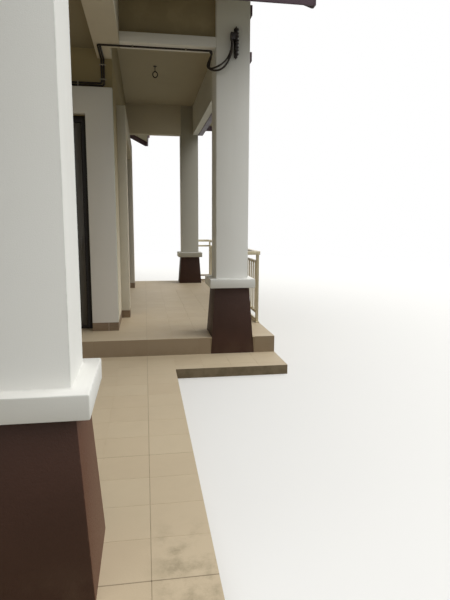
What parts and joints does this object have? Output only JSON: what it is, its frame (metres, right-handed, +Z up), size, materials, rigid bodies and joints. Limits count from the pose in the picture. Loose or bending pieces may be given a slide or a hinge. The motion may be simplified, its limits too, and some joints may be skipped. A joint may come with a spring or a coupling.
{
  "type": "terraced house",
  "caption": "End unit of a single-storey terrace with a car porch, a raised side veranda on tapered columns and a tiled gable roof.",
  "frame": {"origin": "middle of the house's outline box at ground level", "axes": "+X to the veranda side, +Y from the street to the rear, +Z up"},
  "size_m": [8.54, 13.45, 5.8161],
  "materials": {
    "white_plaster": "smooth painted plaster, matt",
    "cream_plaster": "painted plaster, matt",
    "brown_base": "dark brown textured paint on render",
    "floor_tile": "matt beige floor tile with grout joints",
    "roof_tile": "red interlocking tile, slight sheen",
    "brown_board": "dark purple-brown gloss paint on board",
    "ceiling_board": "matt painted cement board",
    "dark_infill": "dark stained board, matt",
    "black_aluminium": "dark powder coat",
    "dark_glass": "tinted clear glass",
    "railing_paint": "cream gloss paint on steel",
    "black_plastic": "black plastic pipe",
    "dark_steel": "dark painted steel"
  },
  "bodies": {
    "house": {"cable_bracket": "dark_steel", "conduit": "black_plastic", "conduit_rear": "black_plastic", "door_frame": "black_aluminium", "door_surround": "white_plaster", "drip_cable_front": "black_plastic", "drip_cable_rear": "black_plastic", "fixed_leaf_frame": "black_aluminium", "fixed_leaf_glass": "dark_glass", "front_fascia": "brown_board", "front_wall_head": "cream_plaster", "front_wall_left": "cream_plaster", "front_wall_right": "cream_plaster", "front_window_frame": "black_aluminium", "front_window_glass": "dark_glass", "junction_box": "black_plastic", "main_roof": "roof_tile", "party_wall": "cream_plaster", "porch_bargeboard": "brown_board", "porch_ceiling": "ceiling_board", "porch_column_left_base": "brown_base", "porch_column_left_shaft": "white_plaster", "porch_column_right_base": "brown_base", "porch_column_right_shaft": "white_plaster", "porch_gable": "white_plaster", "porch_gable_frame": "brown_board", "porch_roof": "roof_tile", "porch_side_beam": "white_plaster", "porch_slab": "floor_tile", "raised_floor": "floor_tile", "rear_bargeboard": "brown_board", "rear_fascia": "brown_board", "rear_roof": "roof_tile", "rear_wall": "cream_plaster", "rear_window_frame": "black_aluminium", "rear_window_glass": "dark_glass", "side_wall": "cream_plaster", "side_window_frame": "black_aluminium", "side_window_glass": "dark_glass", "veranda_bargeboard": "brown_board", "veranda_ceiling": "ceiling_board", "veranda_column_front_base": "brown_base", "veranda_column_front_shaft": "white_plaster", "veranda_column_rear_base": "brown_base", "veranda_column_rear_shaft": "white_plaster", "veranda_front_beam": "white_plaster", "veranda_front_infill": "dark_infill", "veranda_gable": "white_plaster", "veranda_gable_frame": "brown_board", "veranda_glazing_frame": "black_aluminium", "veranda_glazing_glass": "dark_glass", "veranda_lower_strip": "brown_board", "veranda_railing": "railing_paint", "veranda_rear_beam": "white_plaster", "veranda_surround": "white_plaster"},
    "sliding_door": {"sliding_leaf_frame": "black_aluminium", "sliding_leaf_glass": "dark_glass"}
  },
  "joints": [
    {"name": "door_slide", "type": "slide", "parent": "house", "child": "sliding_door", "axis": [-1, 0, 0], "range_m": [0, 0.95]}
  ]
}
